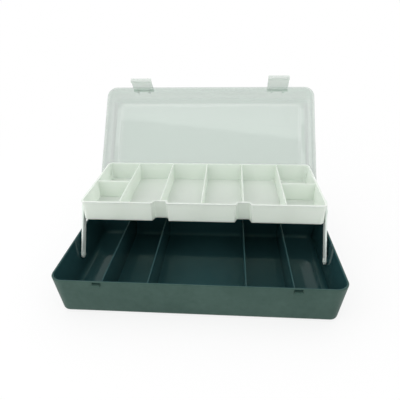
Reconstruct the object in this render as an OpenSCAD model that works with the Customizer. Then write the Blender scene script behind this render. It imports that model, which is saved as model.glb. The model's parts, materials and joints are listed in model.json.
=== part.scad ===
// Tackle box with one lift-up tray. The lid carries the back of the tray, and two
// slotted arms carry its front, so the tray rises out of the base as the lid opens.
// Drawn open. X runs along the box, the front faces -Y, and Z = 0 is the table.

/* [Base box] */
// Length of the box at its rim
box_w = 320; // [280:1:400]
// Depth of the box at its rim, front to back
box_d = 180; // [160:1:220]
// Height of the base, table to rim
base_h = 48; // [42:0.5:60]
// Corner radius at the rim, seen from above
corner_r = 15; // [12:0.5:20]
// Wall thickness of the base
base_wall = 2.5; // [2:0.1:3]
// Floor thickness of the base
base_floor = 2.5; // [2:0.1:3.5]
// How far each base wall leans in from rim to foot
base_draft = 6.5; // [3:0.5:8]
// Outside radius where wall and underside meet
foot_r = 5; // [3:0.5:6]
// Inside radius where wall and floor meet
floor_r = 6; // [3:0.5:7]
// Radius on the edges of the base's rim
rim_r = 0.8; // [0.4:0.1:0.9]

/* [Base dividers] */
// Thickness of a base divider
divider_t = 1.6; // [1.2:0.1:2.4]
// How far the dividers stop below the rim
divider_drop = 7; // [5:0.5:12]
// Width of the middle compartment, between the inner dividers' centres
middle_w = 106.6; // [80:0.2:120]
// Width of each end compartment, from the box's end to the outer divider's centre
base_end_w = 56; // [40:0.5:66]

/* [Catches and latches] */
// Distance of each latch from the end of the box
latch_in = 53.5; // [45:0.5:70]
// Width of a latch
latch_w = 32; // [26:1:40]
// Thickness of the latch plate
latch_t = 2; // [1.6:0.1:2.6]
// Height of the latch hinge above the parting line
latch_up = 16; // [13:0.5:17]
// Radius of the latch barrel and of its lugs
latch_barrel_r = 2.6; // [2.2:0.1:3]
// Radius of the latch pin
latch_pin_r = 1; // [0.8:0.1:1.2]
// Width of each lug that holds a latch
lug_w = 3; // [2.4:0.1:4]
// Distance between the two lugs of a latch, centre to centre
lug_pitch = 18; // [14:0.5:20]
// Width of the catch ledge on the base and of the pocket over it
catch_w = 9; // [6:0.5:14]
// How far the catch ledge stands out
catch_out = 2.2; // [1.6:0.1:3]
// Height of the catch ledge
catch_h = 2.4; // [2:0.1:4]
// Distance of the catch ledge below the rim
catch_down = 3.4; // [3:0.1:5]
// Depth of the pocket over the catch ledge
pocket_depth = 1.2; // [0.6:0.1:1.2]
// How far the left latch stands open, in degrees
left_latch_open = 10; // [0:1:60]
// How far the right latch stands open, in degrees
right_latch_open = 22; // [0:1:60]

/* [Lid] */
// How far the lid stands open, in degrees
open_angle = 128; // [115:1:130]
// Wall thickness of the lid
lid_wall = 2; // [1.6:0.1:2.4]
// Height of the thicker band along the lid's rim
band_h = 8; // [5:0.5:9]
// How far the rim band stands out from the side above it
band_step = 1.2; // [0.8:0.1:1.6]
// How far the lid's side leans in from rim to top
lid_draft = 4; // [2:0.5:6]
// Outside radius where the lid's side and top meet
lid_edge_r = 4; // [2.5:0.5:5]
// Height of the raised panel on the lid
panel_rise = 2; // [1:0.25:3]
// Distance from the lid's rim to the foot of the raised panel
panel_margin = 10; // [9:0.5:16]
// Width of the slope around the raised panel
panel_slope = 6; // [3:0.5:9]
// Play between lid and base when shut
lid_gap = 0.3; // [0.2:0.1:0.6]

/* [Lid hinges] */
// Distance of each hinge from the end of the box
hinge_in = 70; // [50:1:90]
// Length of one hinge knuckle
knuckle_len = 12; // [8:0.5:16]
// Radius of a hinge knuckle
knuckle_r = 3.4; // [3:0.1:4.5]
// Radius of the hinge pin
hinge_pin_r = 1.25; // [1:0.05:1.5]
// Play between a knuckle and the wall it passes
hinge_gap = 0.4; // [0.3:0.1:0.8]

/* [Tray] */
// Height of the tray
tray_h = 26.5; // [22:0.5:30]
// Gap in front of the shut tray, to the front of the base
tray_front_gap = 14; // [12:0.5:20]
// Gap behind the shut tray, to the back of the base
tray_rear_gap = 35; // [32:0.5:40]
// Corner radius of the tray's lip
tray_r = 6.5; // [6:0.5:12]
// Wall thickness of the tray
tray_wall = 1.6; // [1.2:0.1:2]
// Floor thickness of the tray
tray_floor = 1.6; // [1.2:0.1:2]
// How far each tray wall leans in from rim to foot
tray_draft = 0.8; // [0.6:0.1:2]
// Outside radius where tray wall and underside meet
tray_foot_r = 1.8; // [1.6:0.1:3.5]
// How far the lip stands out from the tray wall
lip_out = 1; // [0.8:0.1:1.8]
// Thickness of the lip
lip_t = 1.3; // [1:0.1:1.6]
// Radius on the lip's edges
lip_r = 0.5; // [0.3:0.05:0.6]
// Space between the shut tray and the base dividers
seat_gap = 0.6; // [0.4:0.1:1.5]
// Space between the shut tray and the lid's top
headroom = 3; // [2.5:0.5:6]

/* [Tray compartments] */
// Thickness of a tray divider
cell_wall = 1.4; // [1:0.1:2]
// How far the tray dividers stop below the rim
cell_drop = 0.8; // [0.4:0.1:3]
// Distance of the middle pair of dividers from the centre one
cell_inner_x = 51.5; // [40:0.5:62]
// Width of each end compartment of the tray, from the lip to the divider's centre
tray_end_w = 48.2; // [38:0.1:56]
// Width of a finger recess at its mouth, under the lip
recess_w = 23; // [18:0.5:28]
// Depth of a finger recess under the tray, from the lip's face
recess_depth = 11; // [8:0.5:13]
// How far the back of a finger recess leans out towards the lip
recess_lean = 4; // [0:0.5:5]
// Slant of a finger recess's sides, in degrees
recess_slant = 20; // [5:1:25]
// Corner radius of a finger recess
recess_r = 2.5; // [2:0.1:3.5]

/* [Arms] */
// Width of an arm
arm_w = 10; // [8:0.5:12]
// Thickness of an arm
arm_t = 2; // [1.6:0.1:2.6]
// Play between an arm and the base wall at its foot
arm_wall_gap = 0.7; // [0.5:0.1:1.5]
// Play between an arm and the tray's lip
arm_face_gap = 0.3; // [0.3:0.1:0.8]
// Height of the arm's lower pivot above the table
arm_pivot_z = 25.2; // [22:0.2:28]
// Distance of the tray's front pin behind the lip's front
arm_pin_back = 15; // [11:0.5:16]
// Distance of the tray's front pin below the tray's rim
arm_pin_down = 15.5; // [12:0.5:16]
// Distance of the lid's tray pivot ahead of the tray's back
lid_pivot_back = 8; // [6:0.5:9]
// Height of the lid's tray pivot above the parting line
lid_pivot_up = 6.8; // [6:0.2:8]
// Radius of the rivets and of the tray pivot pins
rivet_r = 2; // [1.6:0.1:2.4]
// Radius of a rivet head
rivet_head_r = 3.5; // [3:0.1:4.4]
// Thickness of a rivet head
rivet_head_t = 0.9; // [0.8:0.1:1.4]
// Radius of the bosses that hold rivets and pivot pins
boss_r = 4.6; // [4:0.1:5]

/* [Hidden] */
$fn = 48;
bore_play = 0.05;  // radial play of a pin in its bore
side_play = 0.15;  // play under a rivet head
slot_play = 0.65;  // radial play of a rivet in its slot
face_play = 0.4;   // play between the tray's side and the lid's pivot boss
knuckle_play = 0.3; // gap between two knuckles on one pin
overlap = 1;       // how far a joined shape reaches into what carries it
past = 0.003;      // how far a rounding's circle reaches past the faces it joins
band_clear = 0.5;  // play between a shut latch and what it passes

divider_inner_x = middle_w / 2;
divider_outer_x = box_w / 2 - base_end_w;
latch_x = box_w / 2 - latch_in;
hinge_x = box_w / 2 - hinge_in;

// Where the lid turns, as [y, z]
hinge = [box_d / 2 + knuckle_r + hinge_gap, base_h];
parting_z = base_h + lid_gap;

// The lid is deep enough for the tray that stands up out of the shut base
tray_shut_z = base_h - divider_drop + seat_gap;
tray_shut_rim = tray_shut_z + tray_h;
lid_h = tray_shut_rim + headroom + lid_wall - parting_z;

// The arms lie between the base wall and the tray's lip
function base_inset(z) = base_draft * (1 - z / base_h);
arm_outer_x = box_w / 2 - base_wall - base_inset(arm_pivot_z - arm_w / 2) - arm_wall_gap;
arm_inner_x = arm_outer_x - arm_t;
tray_w = 2 * (arm_inner_x - arm_face_gap);
cell_outer_x = tray_w / 2 - tray_end_w;
tray_d = box_d - tray_front_gap - tray_rear_gap;
tray_shut_y = (tray_front_gap - tray_rear_gap) / 2;

// Linkage, as [y, z] points: the shut place, the open place and the way between
function swing(p, a) = hinge + [
  (p[0] - hinge[0]) * cos(a) + (p[1] - hinge[1]) * sin(a),
  (p[1] - hinge[1]) * cos(a) - (p[0] - hinge[0]) * sin(a)
];
lid_pivot_shut = [tray_shut_y + tray_d / 2 - lid_pivot_back, base_h + lid_pivot_up];
lid_pivot = swing(lid_pivot_shut, open_angle);
lid_crank = norm(lid_pivot_shut - hinge);
lift = lid_pivot - lid_pivot_shut;
travel = norm(lift);
lift_normal = [lift[1], -lift[0]] / travel;
pin_shut = [tray_shut_y - tray_d / 2 + arm_pin_back, tray_shut_rim - arm_pin_down];
pin_open = pin_shut + lift;
pin_mid = (pin_shut + pin_open) / 2;
arm_drop = (arm_pivot_z - pin_mid[1]) / lift_normal[1];
arm_pivot = pin_mid + arm_drop * lift_normal;
arm_reach = norm(pin_open - arm_pivot);
arm_swing = 2 * atan(travel / 2 / arm_drop);
arm_lean = atan2(pin_open[0] - arm_pivot[0], pin_open[1] - arm_pivot[1]);
// The pin runs out along the slot and back while the lid turns
slot_run = arm_drop + lid_crank * (1 - cos(open_angle / 2)) - arm_reach;
slot_r = rivet_r + slot_play;

// The latch turns on an axis in front of the lid, as [y, z] with the lid shut
latch_axis = [-box_d / 2 - latch_barrel_r - band_clear, parting_z + latch_up];
catch_top = base_h - catch_down;
catch_foot = catch_top - catch_h;

// ---- shared shapes ----

// Half section of a tapered tub, from a corner's own axis out to the wall. The wall
// leans out by `lean` over the height; its foot has radius `f` and its top edge `e`.
module tub_section(r, h, lean, f, e) {
  slope = atan(lean / h);
  out = [cos(slope), -sin(slope)];
  foot = r - lean;
  cut = f * tan((90 - slope) / 2);
  foot_centre = [foot - cut, f];
  edge_centre = [r - e * tan((90 + slope) / 2), h - e];
  difference() {
    polygon([[0, 0], [foot, 0], [r, h], [0, h]]);
    if (f > 0) difference() {
      polygon([
        [foot - cut, -overlap], [foot + f, -overlap], foot_centre + (f + overlap) * out, foot_centre
      ]);
      translate(foot_centre) circle(f + past);
    }
    if (e > 0) difference() {
      polygon([
        edge_centre, edge_centre + (e + overlap) * out, [r + overlap, h + overlap],
        [edge_centre[0], h + overlap]
      ]);
      translate(edge_centre) circle(e + past);
    }
  }
}

// Carries the section drawn by its children round a w by d outline with corner radius r
module sweep(w, d, r) {
  run_x = w / 2 - r;
  run_y = d / 2 - r;
  for (k = [0:3]) {
    side = (k == 0 || k == 3) ? 1 : -1;
    end = k < 2 ? 1 : -1;
    translate([side * run_x, end * run_y, 0]) rotate([0, 0, 90 * k])
      rotate_extrude(angle = 90) children();
  }
  for (a = [0, 180]) rotate([0, 0, a]) {
    translate([run_x, run_y, 0]) rotate([90, 0, 0]) linear_extrude(2 * run_y) children();
    translate([-run_x, run_y, 0]) rotate([90, 0, 90]) linear_extrude(2 * run_x) children();
  }
}

// Solid rounded tub of size w by d at its top, standing on Z = 0
module tub(w, d, r, h, lean = 0, f = 0, e = 0) {
  sweep(w, d, r) tub_section(r, h, lean, f, e);
  translate([r - w / 2, r - d / 2, 0]) cube([w - 2 * r, d - 2 * r, h]);
}

// What rounds the inner edge of a rim, with the rim's top on Z = 0. The inner wall
// meets that top at r from the corner's axis and leans in by `slope` degrees below it.
module inner_edge(r, slope, e) {
  centre = [r + e * tan((90 - slope) / 2), -e];
  difference() {
    polygon([
      centre, [centre[0], overlap], [r - overlap, overlap],
      centre - (e + overlap) * [cos(slope), -sin(slope)]
    ]);
    translate(centre) circle(e + past);
  }
}

// Rod along X from x0 to x1, its centre at the [y, z] point
module rod(p, x0, x1, r) {
  translate([x0, p[0], p[1]]) rotate([0, 90, 0]) cylinder(r = r, h = x1 - x0);
}

// Slab along X from x0 to x1, with its outline drawn in [y, z]
module slab(x0, x1, outline) {
  translate([x0, 0, 0]) rotate([90, 0, 90]) linear_extrude(x1 - x0) polygon(outline);
}

// Draws its children on the right, or mirrored on the left
module on_side(side) {
  if (side < 0) mirror([1, 0, 0]) children();
  else children();
}

// Moves what is drawn with the lid shut to where the open lid has it
module on_open_lid() {
  translate([0, hinge[0], hinge[1]]) rotate([-open_angle, 0, 0])
    translate([0, -hinge[0], -hinge[1]]) children();
}

// ---- base ----

// Half depth of the base at height z, outside
function base_y(z) = box_d / 2 - base_inset(z);

// Rounded top edge of a divider of thickness t that runs front to back, half on each
// side of its middle at the [y, z] point
module divider_edge(p, run, t) {
  translate([0, p[0] + run / 2, p[1]]) rotate([90, 0, 0]) linear_extrude(run) {
    circle(t / 2);
    translate([-t / 2, -t / 2]) square([t, t / 2]);
  }
}

module base_dividers() {
  top = base_h - divider_drop - divider_t / 2;
  low = base_floor - overlap;
  inside = base_wall - overlap;
  outline = [
    [-base_y(low) + base_wall + floor_r, low], [-base_y(base_floor + floor_r) + inside, base_floor + floor_r],
    [-base_y(top) + inside, top], [base_y(top) - inside, top],
    [base_y(base_floor + floor_r) - inside, base_floor + floor_r], [base_y(low) - base_wall - floor_r, low]
  ];
  for (x = [-divider_outer_x, -divider_inner_x, divider_inner_x, divider_outer_x]) {
    slab(x - divider_t / 2, x + divider_t / 2, outline);
    translate([x, 0, 0]) divider_edge([0, top], 2 * (base_y(top) - inside), divider_t);
  }
}

// Ledge on the front that a latch snaps under
module catch_ledge() {
  slab(latch_x - catch_w / 2, latch_x + catch_w / 2, [
    [-base_y(catch_foot) + overlap, catch_top], [-box_d / 2 - catch_out, catch_top],
    [-box_d / 2 - catch_out, catch_foot], [-base_y(catch_foot) + overlap, catch_foot]
  ]);
}

// Shallow pocket in the wall over that ledge
module catch_pocket() {
  top = base_h - rim_r;
  slab(latch_x - catch_w / 2, latch_x + catch_w / 2, [
    [-base_y(top) + pocket_depth, top], [-box_d / 2 - overlap, top],
    [-box_d / 2 - overlap, catch_top], [-base_y(catch_top) + pocket_depth, catch_top]
  ]);
}

// The two base knuckles of one hinge, each on its gusset
module base_knuckles() {
  reach = knuckle_len * 1.5 + knuckle_play;
  gusset = [
    [base_y(base_h) - overlap, base_h], [hinge[0], base_h], [hinge[0], base_h - knuckle_r],
    [base_y(base_h - 4 * knuckle_r) - overlap, base_h - 4 * knuckle_r]
  ];
  for (x = [hinge_x - reach, hinge_x + reach - knuckle_len]) {
    rod(hinge, x, x + knuckle_len, knuckle_r);
    slab(x, x + knuckle_len, gusset);
  }
}

// Round pads on both faces of the wall, square to the rivet
module rivet_pads() {
  wall_x = box_w / 2 - base_inset(arm_pivot[1]);
  lean_x = boss_r * base_draft / base_h;
  rod(arm_pivot, arm_outer_x + side_play, wall_x + lean_x, boss_r);
}

module base() {
  slope = base_draft / base_h;
  cavity_h = base_h - base_floor + overlap;
  color("darkslategray") difference() {
    union() {
      difference() {
        tub(box_w, box_d, corner_r, base_h, base_draft, foot_r, rim_r);
        translate([0, 0, base_floor]) tub(
          box_w - 2 * base_wall + 2 * slope * overlap, box_d - 2 * base_wall + 2 * slope * overlap,
          corner_r - base_wall + slope * overlap, cavity_h, slope * cavity_h, floor_r
        );
        translate([0, 0, base_h]) sweep(box_w - 2 * base_wall, box_d - 2 * base_wall, corner_r - base_wall)
          inner_edge(corner_r - base_wall, atan(slope), rim_r);
        for (side = [-1, 1]) on_side(side) catch_pocket();
      }
      base_dividers();
      for (side = [-1, 1]) on_side(side) {
        catch_ledge();
        base_knuckles();
        rivet_pads();
      }
    }
    for (side = [-1, 1]) on_side(side) {
      rod(hinge, hinge_x - 2 * knuckle_len, hinge_x + 2 * knuckle_len, hinge_pin_r + bore_play);
      rod(arm_pivot, arm_outer_x - arm_t, box_w / 2, rivet_r + bore_play);
    }
  }
}

// ---- lid ----

// Half depth of the lid above its band, outside, at height z over the parting line
function lid_y(z) = box_d / 2 - band_step - lid_draft * z / lid_h;

// Upside down: the top lies on Z = 0 and the rim is at lid_h
module lid_shell() {
  slope = lid_draft / lid_h;
  cavity_h = lid_h - lid_wall + overlap;
  side_w = box_w - 2 * band_step;
  side_d = box_d - 2 * band_step;
  panel_w = box_w - 2 * panel_margin;
  panel_d = box_d - 2 * panel_margin;
  panel_r = corner_r - band_step;
  difference() {
    union() {
      tub(side_w, side_d, corner_r - band_step, lid_h, lid_draft, lid_edge_r);
      translate([0, 0, lid_h - band_h]) tub(box_w, box_d, corner_r, band_h);
      translate([0, 0, -panel_rise]) tub(panel_w, panel_d, panel_r, panel_rise, panel_slope);
    }
    translate([0, 0, lid_wall]) tub(
      side_w - 2 * lid_wall + 2 * slope * overlap, side_d - 2 * lid_wall + 2 * slope * overlap,
      corner_r - band_step - lid_wall + slope * overlap, cavity_h, slope * cavity_h, lid_edge_r - lid_wall / 2
    );
    translate([0, 0, lid_h - band_h + band_step]) tub(
      box_w - 2 * lid_wall, box_d - 2 * lid_wall, corner_r - lid_wall, band_h
    );
    translate([0, 0, lid_wall - panel_rise])
      tub(panel_w - lid_wall / 2, panel_d - lid_wall / 2, panel_r, panel_rise, panel_slope);
  }
}

// Lid knuckle between the two base knuckles, with its web up the lid's back
module lid_knuckle() {
  web_z = parting_z + 3 * knuckle_r;
  rod(hinge, hinge_x - knuckle_len / 2, hinge_x + knuckle_len / 2, knuckle_r);
  slab(hinge_x - knuckle_len / 2, hinge_x + knuckle_len / 2, [
    [box_d / 2 - overlap, parting_z], [hinge[0], parting_z], [hinge[0], hinge[1] + knuckle_r],
    [lid_y(web_z - parting_z) - overlap, web_z]
  ]);
}

// The two lugs that hold one latch
module latch_lugs() {
  back_z = latch_axis[1] - parting_z;
  for (x = [latch_x - lug_pitch / 2, latch_x + lug_pitch / 2]) {
    rod(latch_axis, x - lug_w / 2, x + lug_w / 2, latch_barrel_r);
    slab(x - lug_w / 2, x + lug_w / 2, [
      [latch_axis[0], latch_axis[1] - latch_barrel_r], [latch_axis[0], latch_axis[1] + latch_barrel_r],
      [-lid_y(back_z + latch_barrel_r) + overlap, latch_axis[1] + latch_barrel_r],
      [-lid_y(back_z - latch_barrel_r) + overlap, latch_axis[1] - latch_barrel_r]
    ]);
  }
}

// How deep the pivot pin sits in the tray and in the lid
pin_seat = 2.6;
pivot_boss_x = tray_w / 2 + face_play;

module lid_shut() {
  difference() {
    union() {
      translate([0, 0, parting_z + lid_h]) rotate([180, 0, 0]) lid_shell();
      for (side = [-1, 1]) on_side(side) {
        lid_knuckle();
        latch_lugs();
        rod(lid_pivot_shut, pivot_boss_x, box_w / 2 - lid_wall + overlap, boss_r);
      }
    }
    for (side = [-1, 1]) on_side(side) {
      rod(hinge, hinge_x - knuckle_len, hinge_x + knuckle_len, hinge_pin_r + bore_play);
      rod(latch_axis, latch_x - latch_w, latch_x + latch_w, latch_pin_r + bore_play);
      rod(lid_pivot_shut, pivot_boss_x - overlap, pivot_boss_x + pin_seat + side_play, rivet_r + bore_play);
    }
  }
}

module lid() {
  color([0.8, 0.85, 0.82, 0.45]) on_open_lid() lid_shut();
}

// ---- tray, drawn about its own centre with its underside on Z = 0 ----

tray_body_w = tray_w - 2 * lip_out;
tray_body_d = tray_d - 2 * lip_out;
function tray_inset(z) = tray_draft * (1 - z / tray_h);

// The hollow of the tray; the walls of the finger recesses are left standing in it
module tray_hollow() {
  slope = tray_draft / tray_h;
  hollow_h = tray_h - tray_floor + overlap;
  difference() {
    translate([0, 0, tray_floor]) tub(
      tray_body_w - 2 * tray_wall + 2 * slope * overlap, tray_body_d - 2 * tray_wall + 2 * slope * overlap,
      tray_r - lip_out - tray_wall + slope * overlap, hollow_h, slope * hollow_h, tray_foot_r - tray_wall / 2
    );
    recesses(tray_wall);
  }
}

module tray_lip() {
  difference() {
    translate([0, 0, tray_h - lip_t]) tub(tray_w, tray_d, tray_r, lip_t, e = lip_r);
    recesses(-lip_out);
  }
}

module tray_shell() {
  difference() {
    union() {
      difference() {
        tub(tray_body_w, tray_body_d, tray_r - lip_out, tray_h, tray_draft, tray_foot_r);
        recesses(0);
      }
      tray_lip();
    }
    tray_hollow();
  }
}

// Divider that fills the tray from wall to wall, across an inside length of `run`
function cell_outline(run, top) = [
  [-run / 2 + tray_draft + tray_foot_r, tray_floor / 2],
  [-run / 2 + tray_inset(tray_foot_r) + tray_wall / 2, tray_floor + tray_foot_r],
  [-run / 2 + tray_wall / 2, top], [run / 2 - tray_wall / 2, top],
  [run / 2 - tray_inset(tray_foot_r) - tray_wall / 2, tray_floor + tray_foot_r],
  [run / 2 - tray_draft - tray_foot_r, tray_floor / 2]
];

module tray_cells() {
  top = tray_h - cell_drop - cell_wall / 2;
  for (x = [-cell_outer_x, -cell_inner_x, 0, cell_inner_x, cell_outer_x]) {
    slab(x - cell_wall / 2, x + cell_wall / 2, cell_outline(tray_body_d, top));
    translate([x, 0, 0]) divider_edge([0, top], tray_body_d - tray_wall, cell_wall);
  }
  // cross dividers of the two end compartments
  for (side = [-1, 1]) on_side(side) {
    translate([0, cell_wall / 2, 0]) rotate([90, 0, 0]) linear_extrude(cell_wall) polygon([
      [cell_outer_x, tray_floor / 2], [tray_body_w / 2 - tray_draft - tray_foot_r, tray_floor / 2],
      [tray_body_w / 2 - tray_inset(tray_foot_r) - tray_wall / 2, tray_floor + tray_foot_r],
      [tray_body_w / 2 - tray_wall / 2, top], [cell_outer_x, top]
    ]);
    rotate([0, 0, -90]) divider_edge(
      [(cell_outer_x + tray_body_w / 2 - tray_wall / 2) / 2, top],
      tray_body_w / 2 - tray_wall / 2 - cell_outer_x, cell_wall
    );
  }
}

// Outline of a finger recess, grown by `grow` on its sides and back. Its front edge, on
// Y = 0, runs out in round corners, and its back is at the recess's full depth.
module recess_outline(grow) {
  out = [cos(recess_slant), sin(recess_slant)];
  r = recess_r + grow;
  mouth = recess_w / 2 + grow / cos(recess_slant);
  corner_y = recess_depth - recess_r;
  corner = [mouth - (r + corner_y * sin(recess_slant)) / cos(recess_slant), corner_y];
  side_end = corner + r * out;
  ear_r = recess_r;
  ear = [mouth + ear_r * (1 - sin(recess_slant)) / cos(recess_slant), ear_r];
  for (side = [0, 1]) mirror([side, 0]) {
    polygon([
      [0, -recess_depth], [mouth, -recess_depth], [mouth, 0], side_end, corner,
      [corner[0], corner_y + r], [0, corner_y + r]
    ]);
    translate(corner) circle(r + past);
    difference() {
      polygon([
        [mouth, -recess_depth], [ear[0], -recess_depth], ear, ear - (ear_r + overlap) * out, [mouth - overlap, 0]
      ]);
      translate(ear) circle(ear_r + past);
    }
  }
}

// Both finger recesses, their backs leaning out towards the top
module recesses(grow) {
  tilt = atan(recess_lean / tray_h);
  for (x = [-cell_inner_x, cell_inner_x])
    translate([x, -tray_d / 2, 0]) rotate([tilt, 0, 0]) translate([0, 0, -tray_h])
      linear_extrude(3 * tray_h) recess_outline(grow);
}

module tray_body() {
  arm_pin = pin_shut - [tray_shut_y, tray_shut_z];
  lid_pin = lid_pivot_shut - [tray_shut_y, tray_shut_z];
  boss_x = tray_body_w / 2 - tray_draft - tray_wall;
  difference() {
    union() {
      tray_shell();
      difference() {
        tray_cells();
        recesses(0);
      }
      for (side = [-1, 1], p = [arm_pin, lid_pin]) on_side(side) rod(p, boss_x, tray_w / 2, boss_r);
    }
    for (side = [-1, 1], p = [arm_pin, lid_pin])
      on_side(side) rod(p, tray_w / 2 - pin_seat, tray_w, rivet_r + bore_play);
  }
}

module tray() {
  color("honeydew") translate([0, tray_shut_y + lift[0], tray_shut_z + lift[1]]) tray_body();
}

// ---- arms ----

module arm(side) {
  end = arm_reach + slot_run;
  color("white") on_side(side)
    translate([arm_inner_x, arm_pivot[0], arm_pivot[1]]) rotate([-arm_lean, 0, 0]) rotate([90, 0, 90])
      linear_extrude(arm_t) difference() {
        union() {
          circle(arm_w / 2);
          translate([-arm_w / 2, 0]) square([arm_w, end]);
          translate([0, end]) circle(arm_w / 2);
        }
        circle(rivet_r + bore_play);
        translate([0, arm_reach]) circle(slot_r);
        translate([-slot_r, arm_reach]) square([2 * slot_r, slot_run]);
        translate([0, end]) circle(slot_r);
      }
}

// ---- latches, drawn with the lid and the latch shut ----

module latch_plate() {
  inner = -box_d / 2 - catch_out - band_clear;
  outer = inner - latch_t;
  hook_z = catch_foot - band_clear;
  tip_z = hook_z - 1.5 * latch_t;
  union() {
    rod(latch_axis, -latch_w / 2, latch_w / 2, latch_barrel_r);
    slab(-latch_w / 2, latch_w / 2, [
      [latch_axis[0], latch_axis[1]], [latch_axis[0] - latch_barrel_r, latch_axis[1]],
      [outer, latch_axis[1] - latch_barrel_r - latch_t], [outer, hook_z + latch_t],
      [outer - latch_t * 0.8, tip_z], [inner, tip_z], [-box_d / 2 - band_clear, hook_z - latch_t * 0.6],
      [-box_d / 2 - band_clear, hook_z], [inner, hook_z],
      [inner, latch_axis[1] - latch_barrel_r - latch_t]
    ]);
  }
}

module latch(side, open_by) {
  gap = lug_w / 2 + knuckle_play;
  clear_r = latch_barrel_r + knuckle_play;
  color([0.75, 0.8, 0.77, 0.6]) on_side(side) on_open_lid()
    translate([latch_x, latch_axis[0], latch_axis[1]]) rotate([-open_by, 0, 0])
      translate([0, -latch_axis[0], -latch_axis[1]]) difference() {
        latch_plate();
        for (x = [-lug_pitch / 2, lug_pitch / 2]) {
          rod(latch_axis, x - gap, x + gap, clear_r);
          slab(x - gap, x + gap, [
            [latch_axis[0], latch_axis[1] + clear_r], [latch_axis[0] + 2 * clear_r, latch_axis[1] + clear_r],
            [latch_axis[0] + 2 * clear_r, latch_axis[1] - clear_r], [latch_axis[0], latch_axis[1] - clear_r]
          ]);
        }
        rod(latch_axis, -latch_w, latch_w, latch_pin_r + bore_play);
      }
}

// ---- pins and rivets ----

module hinge_pin(side) {
  reach = knuckle_len * 1.5 + knuckle_play;
  color("silver") on_side(side) rod(hinge, hinge_x - reach, hinge_x + reach, hinge_pin_r);
}

module latch_pin(side) {
  reach = latch_w / 2 - knuckle_play;
  color("silver") on_side(side) on_open_lid()
    rod(latch_axis, latch_x - reach, latch_x + reach, latch_pin_r);
}

// Headed rivet through the base wall and the foot of an arm
module base_rivet(side) {
  wall_x = box_w / 2 - base_inset(arm_pivot[1]) + boss_r * base_draft / base_h;
  snap_x = arm_inner_x - side_play;
  color("white") on_side(side) {
    rod(arm_pivot, snap_x, wall_x + side_play, rivet_r);
    rod(arm_pivot, wall_x + side_play, wall_x + side_play + rivet_head_t, rivet_head_r);
    rod(arm_pivot, snap_x - rivet_head_t, snap_x, rivet_head_r * 0.85);
  }
}

// Headed rivet that holds an arm's slot against the tray
module tray_rivet(side) {
  head_x = arm_outer_x + side_play;
  color("white") on_side(side) {
    rod(pin_open, tray_w / 2 - pin_seat + side_play, head_x, rivet_r);
    rod(pin_open, head_x, head_x + rivet_head_t, rivet_head_r);
  }
}

module pivot_pin(side) {
  color("white") on_side(side)
    rod(lid_pivot, tray_w / 2 - pin_seat + side_play, pivot_boss_x + pin_seat, rivet_r);
}

echo(hinge = hinge, lid_pivot = lid_pivot, arm_pivot = arm_pivot, arm_swing = arm_swing, lift = lift);
echo(arm_lean = arm_lean, arm_reach = arm_reach, slot_run = slot_run, tray = [tray_w, tray_d, tray_shut_y, tray_shut_z]);
echo(lid_h = lid_h, arm_x = [arm_inner_x, arm_outer_x], latch_axis = latch_axis, lid_crank = lid_crank);

base();
lid();
tray();
arm(-1);  // left_arm
arm(1);  // right_arm
latch(-1, left_latch_open);  // left_latch
latch(1, right_latch_open);  // right_latch
hinge_pin(-1);  // left_hinge_pin
hinge_pin(1);  // right_hinge_pin
latch_pin(-1);  // left_latch_pin
latch_pin(1);  // right_latch_pin
base_rivet(-1);  // left_base_rivet
base_rivet(1);  // right_base_rivet
tray_rivet(-1);  // left_tray_rivet
tray_rivet(1);  // right_tray_rivet
pivot_pin(-1);  // left_pivot_pin
pivot_pin(1);  // right_pivot_pin
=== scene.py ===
import bpy
import json
import math
from mathutils import Matrix, Vector


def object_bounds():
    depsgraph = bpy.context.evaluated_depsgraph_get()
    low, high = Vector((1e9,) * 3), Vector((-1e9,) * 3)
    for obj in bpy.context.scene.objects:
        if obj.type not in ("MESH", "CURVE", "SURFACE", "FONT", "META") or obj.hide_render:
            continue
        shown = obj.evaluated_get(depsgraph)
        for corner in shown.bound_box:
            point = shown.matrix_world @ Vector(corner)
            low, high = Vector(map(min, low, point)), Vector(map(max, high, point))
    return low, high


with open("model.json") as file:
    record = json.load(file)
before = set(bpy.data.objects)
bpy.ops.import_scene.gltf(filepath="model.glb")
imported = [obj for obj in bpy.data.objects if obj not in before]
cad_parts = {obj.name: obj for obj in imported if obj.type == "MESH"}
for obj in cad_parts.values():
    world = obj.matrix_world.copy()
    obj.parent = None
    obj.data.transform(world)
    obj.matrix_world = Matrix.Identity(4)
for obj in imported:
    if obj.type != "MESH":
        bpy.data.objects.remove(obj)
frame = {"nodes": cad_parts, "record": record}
cad_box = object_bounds()

# Dresses the tackle box in its plastics and steel, and sets the view, the light and the floor.
# It adds no piece: each node keeps its shape and gets the material of its slot in the record.
# Lengths are in metres. X runs along the box, the front faces -Y, and Z = 0 is the table.

MM = 0.001

# ---- sizes of the box that its materials follow ----

JOINTS = {joint["name"]: joint for joint in frame["record"]["behaviour"]["joints"]}
LID_HINGE = Vector(JOINTS["lid_hinge"]["pos_m"])
LID_OPENING = math.radians(JOINTS["lid_hinge"]["range_deg"][1])
LATCH_PIN = Vector(JOINTS["left_latch_hinge"]["pos_m"])

HINGE_BEHIND_RIM = 3.8 * MM
RIM_HALF = Vector((cad_box[1][0], LID_HINGE.y - HINGE_BEHIND_RIM, 0))    # from the middle to the rim
RIM_CORNER = 15 * MM                # corner radius of the rim, seen from above
BASE_HEIGHT = LID_HINGE.z           # the lid hinges level with the base's rim
BASE_LEAN = 6.5 * MM                # how far the base's walls lean in at the foot
BASE_WALL = 2.5 * MM

# Heights on the shut lid
LID_RIM_Z = BASE_HEIGHT + 0.3 * MM
LID_BAND_Z = LID_RIM_Z + 8 * MM     # the top of the thicker band along the rim
LID_TOP_Z = LID_RIM_Z + 24.8 * MM

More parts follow.
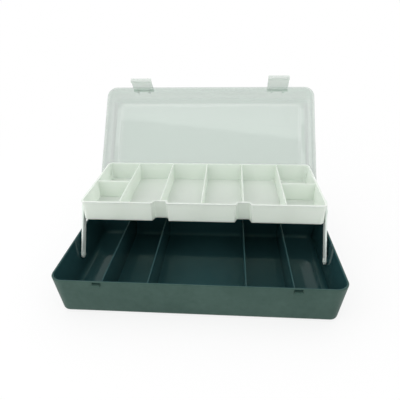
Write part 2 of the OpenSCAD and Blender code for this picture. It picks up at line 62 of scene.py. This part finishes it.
# Distances in from the lid's rim, seen from above
LID_SIDE_END = 4.5 * MM             # where the leaning side gives way to the top's rounded edge
PANEL_FOOT = 10 * MM                # where the slope up to the raised panel starts
PANEL_TOP = 16 * MM                 # where it ends
LID_EDGE = 4 * MM                   # radius of the top's rounded edge


# ---- camera: the photograph's viewpoint, found from the object's edges ----

CAMERA_AT = Vector((32.7, -401.8, 309.7)) * MM
CAMERA_YAW = 4.76       # degrees, turned left of straight ahead
CAMERA_PITCH = 27.25    # degrees down
CAMERA_ROLL = -1.16     # degrees
FOCAL_PX = 382.8        # focal length in pixels of the photograph
PHOTO_PX = 400          # its width and height
SENSOR_WIDTH = 36       # in millimetres; the lens is worked out for it


def make_camera():
    """Look at the box as the photograph does."""
    yaw, pitch, roll = (math.radians(angle) for angle in (CAMERA_YAW, CAMERA_PITCH, CAMERA_ROLL))
    ahead = Vector((-math.sin(yaw) * math.cos(pitch), math.cos(yaw) * math.cos(pitch), -math.sin(pitch)))
    right = Vector((math.cos(yaw), math.sin(yaw), 0))
    up = right.cross(ahead)
    rolled_right = math.cos(roll) * right + math.sin(roll) * up
    rolled_up = -math.sin(roll) * right + math.cos(roll) * up
    data = bpy.data.cameras.new("camera")
    data.sensor_width = SENSOR_WIDTH
    data.lens = FOCAL_PX * SENSOR_WIDTH / PHOTO_PX
    camera = bpy.data.objects.new("camera", data)
    bpy.context.scene.collection.objects.link(camera)
    turn = Matrix((rolled_right, rolled_up, -ahead)).transposed().to_4x4()
    camera.matrix_world = Matrix.Translation(CAMERA_AT) @ turn
    bpy.context.scene.camera = camera


# ---- small helpers for node trees ----

class Tree:
    """The node tree of a material or a world, with short ways to add to it."""

    # Where a mix node keeps its first input, its second input and its result, for each kind of data
    MIX_SOCKETS = {"FLOAT": (2, 3, 0), "RGBA": (6, 7, 2)}

    def __init__(self, holder):
        holder.use_nodes = True
        self.nodes = holder.node_tree.nodes
        self.links = holder.node_tree.links

    def add(self, kind, **settings):
        node = self.nodes.new(kind)
        for name, value in settings.items():
            setattr(node, name, value)
        return node

    def plug(self, source, target):
        """Link an output to an input, or set the input to a constant."""
        if isinstance(source, bpy.types.NodeSocket):
            self.links.new(source, target)
        else:
            target.default_value = source

    def plug_all(self, node, sources):
        for name, source in sources.items():
            self.plug(source, node.inputs[name])

    def split(self, vector):
        node = self.add("ShaderNodeSeparateXYZ")
        self.plug(vector, node.inputs["Vector"])
        return node.outputs

    def maths(self, operation, a, b=0.0):
        node = self.add("ShaderNodeMath", operation=operation)
        self.plug(a, node.inputs[0])
        self.plug(b, node.inputs[1])
        return node.outputs["Value"]

    def inverse(self, value):
        """1 less the value."""
        return self.maths("SUBTRACT", 1.0, value)

    def vectors(self, operation, a, b=(0, 0, 0)):
        node = self.add("ShaderNodeVectorMath", operation=operation)
        self.plug(a, node.inputs[0])
        self.plug(b, node.inputs[1])
        result = "Value" if operation in ("LENGTH", "DOT_PRODUCT") else "Vector"
        return node.outputs[result]

    def noise(self, where, scale, detail=2.0, rough=0.5, stretch=None):
        if stretch:
            where = self.vectors("MULTIPLY", where, stretch)
        node = self.add("ShaderNodeTexNoise")
        self.plug_all(node, {"Vector": where, "Scale": scale, "Detail": detail, "Roughness": rough})
        return node.outputs["Fac"]

    def span(self, value, old, new, smooth=False):
        """The value, with the range `old` moved and stretched to the range `new`."""
        node = self.add("ShaderNodeMapRange", interpolation_type="SMOOTHSTEP" if smooth else "LINEAR")
        self.plug_all(node, {
            "Value": value,
            "From Min": old[0],
            "From Max": old[1],
            "To Min": new[0],
            "To Max": new[1],
        })
        return node.outputs["Result"]

    def beyond(self, value, limit, softness):
        """0 below the limit and 1 above it, with a soft step that reaches `softness` to each side."""
        return self.span(value, (limit - softness, limit + softness), (0.0, 1.0), smooth=True)

    def stripe(self, value, middle, width):
        """1 where the value is at the middle, falling to 0 at `width` on either side."""
        off = self.maths("ABSOLUTE", self.maths("SUBTRACT", value, middle))
        return self.span(off, (0.0, width), (1.0, 0.0), smooth=True)

    def mix(self, factor, a, b, kind="RGBA"):
        first, second, result = self.MIX_SOCKETS[kind]
        node = self.add("ShaderNodeMix", data_type=kind)
        self.plug(factor, node.inputs["Factor"])
        self.plug(a, node.inputs[first])
        self.plug(b, node.inputs[second])
        return node.outputs[result]

    def mix_shaders(self, factor, a, b):
        node = self.add("ShaderNodeMixShader")
        self.plug(factor, node.inputs[0])
        self.plug(a.outputs[0], node.inputs[1])
        self.plug(b.outputs[0], node.inputs[2])
        return node.outputs["Shader"]

    def bump(self, height, strength, distance):
        node = self.add("ShaderNodeBump")
        self.plug_all(node, {"Height": height, "Strength": strength, "Distance": distance})
        return node.outputs["Normal"]


def new_material(name):
    """A material with its tree and shader, and the place of each point on its piece."""
    material = bpy.data.materials.new(name)
    tree = Tree(material)
    shader = tree.nodes["Principled BSDF"]
    where = tree.add("ShaderNodeTexCoord").outputs["Object"]
    return material, tree, shader, where


def colour(r, g, b):
    return (r, g, b, 1)


WHITE = colour(1, 1, 1)


# ---- places on the box ----

def behind_rim(tree, where):
    """How far a point lies inside the outline of the box's rim, seen from above."""
    corner = RIM_HALF - Vector((RIM_CORNER, RIM_CORNER, 0))
    flat = tree.vectors("MULTIPLY", where, (1, 1, 0))
    reach = tree.vectors("SUBTRACT", tree.vectors("ABSOLUTE", flat), corner)
    outer = tree.vectors("LENGTH", tree.vectors("MAXIMUM", reach, (0, 0, 0)))
    along = tree.split(reach)
    inner = tree.maths("MINIMUM", tree.maths("MAXIMUM", along["X"], along["Y"]), 0.0)
    return tree.maths("SUBTRACT", RIM_CORNER, tree.maths("ADD", outer, inner))


def base_inside(tree, where):
    """1 on the inside faces of the base, 0 on its outside. It changes within the wall."""
    within_wall = (0.4 * BASE_WALL, 0.6 * BASE_WALL)
    height = tree.split(where)["Z"]
    lean = tree.span(height, (0.0, BASE_HEIGHT), (BASE_LEAN, 0.0))
    depth = tree.maths("SUBTRACT", behind_rim(tree, where), lean)
    behind = tree.span(depth, within_wall, (0.0, 1.0))
    above = tree.span(height, within_wall, (0.0, 1.0))
    return tree.maths("MULTIPLY", behind, above)


def on_shut_lid(tree, where):
    """The same point of the lid, with the lid turned shut."""
    turn = Matrix.Rotation(LID_OPENING, 3, "X")
    node = tree.add("ShaderNodeMapping")
    tree.plug_all(node, {
        "Vector": where,
        "Location": LID_HINGE - turn @ LID_HINGE,
        "Rotation": turn.to_euler(),
    })
    return node.outputs["Vector"]


PAINTED_LIGHT_REACH = (3.5 * MM, 7.0 * MM)    # from the latch pins, where the painted light on the barrels fades out


def near_latch_pin(tree, where):
    """1 round the latches' pins, where the barrels and lugs lie behind each other and painted light lifts
    their shade, 0 elsewhere.
    """
    beside = tree.vectors("SUBTRACT", where, LATCH_PIN)
    away = tree.vectors("LENGTH", tree.vectors("MULTIPLY", beside, (0, 1, 1)))
    return tree.span(away, PAINTED_LIGHT_REACH, (1.0, 0.0), smooth=True)


# ---- materials ----

def dark_plastic():
    """The base's plastic, satin and faintly mottled outside and glossy inside, with painted shade in its
    darker inside colour.
    """
    material, tree, shader, where = new_material("dark_plastic")
    inside = base_inside(tree, where)
    cloud = tree.noise(where, scale=28.0, detail=3.0)
    mottle = tree.noise(where, scale=170.0, detail=3.0, rough=0.6)
    scuff = tree.noise(where, scale=90.0, detail=4.0, rough=0.65, stretch=(1.0, 0.18, 1.0))
    scratch = tree.noise(where, scale=700.0, stretch=(0.06, 1.0, 0.4))
    grain = tree.noise(where, scale=1900.0, rough=0.6)
    clouded = tree.span(cloud, (0.35, 0.65), (0.1, 0.6))
    mottled = tree.span(mottle, (0.35, 0.65), (0.0, 0.3))
    patchy = tree.maths("ADD", clouded, mottled)
    outside_colour = tree.mix(patchy, colour(0.036, 0.073, 0.061), colour(0.057, 0.104, 0.088))
    # the inside colour is a darker, tealer copy of the outside's: painted shade for the interior under
    # the tray and lid
    painted_shade_inside_colour = tree.mix(cloud, colour(0.0180, 0.0570, 0.0620), colour(0.0225, 0.0680, 0.0740))
    satin = tree.span(scuff, (0.3, 0.75), (0.40, 0.52))
    gloss = tree.span(scratch, (0.35, 0.8), (0.03, 0.08))
    grain_strength = tree.span(inside, (0.0, 1.0), (0.30, 0.03))
    tree.plug_all(shader, {
        "Base Color": tree.mix(inside, outside_colour, painted_shade_inside_colour),
        "Roughness": tree.mix(inside, satin, gloss, "FLOAT"),
        "Normal": tree.bump(grain, grain_strength, 0.3 * MM),
        "IOR": 1.46,
        "Specular IOR Level": 0.26,
        "Specular Tint": colour(0.68, 1.0, 0.83),    # its reflections are tinted green: a painted reflection of the green tray and lid
    })
    return material


LIGHT_DEPTH = 5 * MM    # how far light spreads in the milky plastics


def milky_plastic(name, darker, lighter, soft):
    """Milky plastic, of which the share `soft` lets light into its walls."""
    material, tree, shader, where = new_material(name)
    cloud = tree.noise(where, scale=22.0, detail=3.0)
    speck = tree.noise(where, scale=260.0)
    tree.plug_all(shader, {
        "Base Color": tree.mix(cloud, darker, lighter),
        "Roughness": tree.span(speck, (0.3, 0.7), (0.30, 0.42)),
        "Normal": tree.bump(speck, 0.06, 0.4 * MM),
        "IOR": 1.49,
        "Subsurface Weight": soft,
        "Subsurface Radius": (LIGHT_DEPTH, LIGHT_DEPTH, LIGHT_DEPTH),
        "Subsurface Scale": 1.0,
    })
    return material


def tray_plastic():
    """The tray's plastic, which light goes right into."""
    return milky_plastic(
        "milky_plastic",
        darker=colour(0.735, 0.810, 0.725),
        lighter=colour(0.775, 0.850, 0.765),
        soft=1.0,
    )


def arm_plastic():
    """The whiter plastic of the arms, the rivets and the tray's pivot pins."""
    return milky_plastic(
        "arm_plastic",
        darker=colour(0.87, 0.97, 0.90),
        lighter=colour(0.90, 0.995, 0.93),
        soft=0.25,
    )


# painted light that lifts the shade where the latches' barrels and lugs lie behind each other
PAINTED_BARREL_LIGHT = colour(0.94, 0.97, 0.95)
HAZE_SPREAD = 0.05    # how much rougher a clear wall is where it is scuffed


def clear_shell(tree, shader, where, tint, cover, haze):
    """Make a shader clear, with painted light round the latches' pins.

    Each of a wall's two faces covers the share `cover` of what is behind it.
    """
    ripple = tree.noise(where, scale=30.0, detail=1.0)
    scuff = tree.noise(where, scale=240.0, detail=3.0, rough=0.6, stretch=(1.0, 0.25, 0.25))
    tree.plug_all(shader, {
        "Base Color": tree.mix(near_latch_pin(tree, where), tint, PAINTED_BARREL_LIGHT),
        "Roughness": tree.span(scuff, (0.35, 0.8), (haze, haze + HAZE_SPREAD)),
        "Normal": tree.bump(ripple, 0.05, 1.2 * MM),
        "Alpha": cover,
        "IOR": 1.65,
        "Specular IOR Level": 1.0,
    })


PANEL_HIGHLIGHTS = (16.4 * MM, 19.4 * MM)    # painted highlights where the raised panel catches the light, in from the rim
PANEL_HIGHLIGHT_WIDTH = 0.7 * MM
RIM_HIGHLIGHT_HEIGHT = 2 * MM                       # height of the painted highlight along the rim
RIM_SHADE_WIDTH = 1.2 * MM                    # width of the painted shade on the rim's outer edge
STEP_RISE = 2 * MM                      # from the rim band's top to the middle of the painted shade on the step
STEP_WIDTH = 5 * MM                     # how far the painted shade on the step fades out on either side
FRONT_FADE = 4 * MM                     # how softly the painted shade ends at the front margin
CRISP = 0.5 * MM                        # how softly the painted light and shade of the lid's side and top part
SOFT = 1 * MM                           # how softly its other painted light and shade end

EDGE_HIGHLIGHT_SHARE = 0.4                        # how strong the painted highlights on the rim and the top's edge are beside those on the panel
HIGHLIGHT_SHARE = 0.8                        # how far the painted highlights go to their colour
SHADE_SHARE = 0.9                        # and the painted shade to its
# colours of the painted highlights and the painted shade on the lid
PAINTED_HIGHLIGHT_COLOUR = colour(0.88, 0.95, 0.90)
PAINTED_SHADE_COLOUR = colour(0.19, 0.28, 0.23)


def lid_painted_light(tree, where):
    """Where painted highlights and painted shade lie on the lid's moulded form, each from 0 to 1."""
    shut = on_shut_lid(tree, where)
    place = tree.split(shut)
    height = place["Z"]
    depth = behind_rim(tree, shut)
    on_top = tree.beyond(depth, LID_SIDE_END, CRISP)
    on_side = tree.inverse(on_top)

    # painted highlight along the rim, painted shade on its outer edge, and painted highlight on the top's
    # rounded edge
    rim_highlight = tree.inverse(tree.beyond(height, LID_RIM_Z + RIM_HIGHLIGHT_HEIGHT, SOFT))
    painted_rim_shade = tree.maths("MULTIPLY", rim_highlight, tree.stripe(depth, 0.0, RIM_SHADE_WIDTH))
    edge_highlight = tree.maths("MULTIPLY", on_side, tree.stripe(height, LID_TOP_Z - LID_EDGE, LID_EDGE))
    painted_highlight = tree.maths("MAXIMUM", tree.maths("SUBTRACT", rim_highlight, painted_rim_shade), edge_highlight)
    painted_highlight = tree.maths("MULTIPLY", painted_highlight, EDGE_HIGHLIGHT_SHARE)
    # painted highlights along the raised panel's edges
    for line in PANEL_HIGHLIGHTS:
        painted_highlight = tree.maths("MAXIMUM", painted_highlight, tree.stripe(depth, line, PANEL_HIGHLIGHT_WIDTH))

    # painted shade on the side band's step and on the top's margin round the panel
    step_shade = tree.maths("MULTIPLY", on_side, tree.stripe(height, LID_BAND_Z + STEP_RISE, STEP_WIDTH))
    round_panel = tree.inverse(tree.beyond(depth, PANEL_FOOT, SOFT))
    margin_shade = tree.maths("MULTIPLY", round_panel, tree.beyond(height, LID_TOP_Z - LID_EDGE, SOFT))
    painted_shade = tree.maths("MAXIMUM", step_shade, tree.maths("MULTIPLY", margin_shade, on_top))
    behind_front = tree.beyond(place["Y"], PANEL_TOP - RIM_HALF.y, FRONT_FADE)
    painted_shade = tree.maths("MULTIPLY", painted_shade, behind_front)
    return painted_highlight, tree.maths("MAXIMUM", painted_shade, painted_rim_shade)


def lid_plastic():
    """Clear plastic, with painted highlights along the lid's moulded lines and painted shade on its steps
    and margins.
    """
    material, tree, shader, where = new_material("clear_plastic")
    cloud = tree.noise(where, scale=16.0)
    painted_highlight, painted_shade = lid_painted_light(tree, where)
    tint = tree.mix(cloud, colour(0.33, 0.49, 0.39), colour(0.37, 0.53, 0.43))
    # mix in the painted shade, then the painted highlights
    tint = tree.mix(tree.maths("MULTIPLY", painted_shade, SHADE_SHARE), tint, PAINTED_SHADE_COLOUR)
    tint = tree.mix(tree.maths("MULTIPLY", painted_highlight, HIGHLIGHT_SHARE), tint, PAINTED_HIGHLIGHT_COLOUR)
    clear_shell(tree, shader, where, tint, cover=0.33, haze=0.01)
    return material


def latch_plastic():
    """Clear plastic that is thicker, paler and hazier than the lid's."""
    material, tree, shader, where = new_material("latch_plastic")
    cloud = tree.noise(where, scale=16.0)
    tint = tree.mix(cloud, colour(0.66, 0.74, 0.68), colour(0.70, 0.78, 0.72))
    clear_shell(tree, shader, where, tint, cover=0.44, haze=0.12)
    return material


def steel():
    """Wire, with the fine lines of its drawing along the pins."""
    material, tree, shader, where = new_material("steel")
    drawn = tree.noise(where, scale=900.0, detail=3.0, rough=0.6, stretch=(0.04, 1.0, 1.0))
    tree.plug_all(shader, {
        "Base Color": tree.mix(drawn, colour(0.50, 0.50, 0.49), colour(0.66, 0.66, 0.65)),
        "Roughness": tree.span(drawn, (0.3, 0.7), (0.22, 0.36)),
        "Normal": tree.bump(drawn, 0.08, 0.2 * MM),
        "Metallic": 1.0,
    })
    return material


def paint():
    """Give each node the material of its slot in the record."""
    made = {
        "base_plastic": dark_plastic(),
        "tray_plastic": tray_plastic(),
        "arm_plastic": arm_plastic(),
        "clear_plastic": lid_plastic(),
        "latch_plastic": latch_plastic(),
        "steel": steel(),
    }
    for part in frame["record"]["subparts"]:
        node = frame["nodes"][part["node"]]
        node.data.materials.clear()
        node.data.materials.append(made[part["material_slot"]])


# ---- floor, lights and world ----

def seen_directly(tree, paths):
    """1 for rays that show the background itself: from the camera, through glass or off a gloss."""
    either = tree.maths("MAXIMUM", paths.outputs["Is Camera Ray"], paths.outputs["Is Transmission Ray"])
    return tree.maths("MAXIMUM", either, paths.outputs["Is Glossy Ray"])


# Glossy faces show the studio, which is dim towards the front, below a slanted plane
DIM_PLANE = (0.105, 0.852, 0.513)    # the way that the plane faces
DIM_SOFTNESS = 0.006
DIM_COLOUR = colour(0.05, 0.06, 0.06)
SKY_STRENGTH = (0.60, 1.15)          # the world's light from the horizon and from overhead


def make_world():
    """A white background, with a light of its own from all round."""
    world = bpy.data.worlds.new("world")
    bpy.context.scene.world = world
    tree = Tree(world)
    paths = tree.add("ShaderNodeLightPath")
    towards = tree.add("ShaderNodeTexCoord").outputs["Generated"]
    upward = tree.vectors("DOT_PRODUCT", towards, (0, 0, 1))
    facing = tree.vectors("DOT_PRODUCT", towards, DIM_PLANE)
    lit = tree.nodes["Background"]
    tree.plug_all(lit, {"Color": WHITE, "Strength": tree.span(upward, (0.0, 1.0), SKY_STRENGTH)})
    below = tree.inverse(tree.beyond(facing, 0.0, DIM_SOFTNESS))
    dim = tree.maths("MULTIPLY", below, paths.outputs["Is Glossy Ray"])
    shown = tree.add("ShaderNodeBackground")
    tree.plug(tree.mix(dim, WHITE, DIM_COLOUR), shown.inputs["Color"])
    mixed = tree.mix_shaders(seen_directly(tree, paths), lit, shown)
    tree.plug(mixed, tree.nodes["World Output"].inputs["Surface"])


FLOOR_SIZE = 40             # metres along each side
FLOOR_DROP = 0.3 * MM       # how far the floor lies under the box's foot
FLOOR_FADE = (0.25, 1.0)    # distances from the box's middle between which its shadow fades out
FLOOR_GLOW = (0.80, 1.0)    # the share of plain white in the floor at those distances


def make_floor():
    """White ground that shows a faint shadow near the box and is plain white further out."""
    bpy.ops.mesh.primitive_plane_add(size=FLOOR_SIZE, location=(0, 0, -FLOOR_DROP))
    floor = bpy.context.object
    floor.name = "floor"
    material, tree, shader, where = new_material("floor")
    tree.plug_all(shader, {"Base Color": colour(0.96, 0.96, 0.96), "Roughness": 0.9})
    glow = tree.add("ShaderNodeEmission")
    tree.plug_all(glow, {"Color": WHITE, "Strength": 1.0})
    paths = tree.add("ShaderNodeLightPath")
    share = tree.span(tree.vectors("LENGTH", where), FLOOR_FADE, FLOOR_GLOW, smooth=True)
    glowing = tree.maths("MULTIPLY", seen_directly(tree, paths), share)
    tree.plug(tree.mix_shaders(glowing, shader, glow), tree.nodes["Material Output"].inputs["Surface"])
    floor.data.materials.append(material)


LIGHTS_AIM = Vector((0, 0, 50)) * MM    # just over the middle of the base


def make_light(name, at, size, power):
    """A round lamp, `size` across, that faces the box. Its power is in watts."""
    data = bpy.data.lights.new(name, "AREA")
    data.shape = "DISK"
    data.size = size
    data.energy = power
    light = bpy.data.objects.new(name, data)
    bpy.context.scene.collection.objects.link(light)
    light.location = at
    light.rotation_euler = (LIGHTS_AIM - Vector(at)).to_track_quat("-Z", "Y").to_euler()


make_camera()
paint()
make_world()
make_floor()
make_light("key", at=(-1.4, -0.7, 0.8), size=2.4, power=9.4)
make_light("fill", at=(0.9, -0.6, 0.9), size=0.8, power=0.4)
bpy.context.scene.view_settings.view_transform = "Standard"
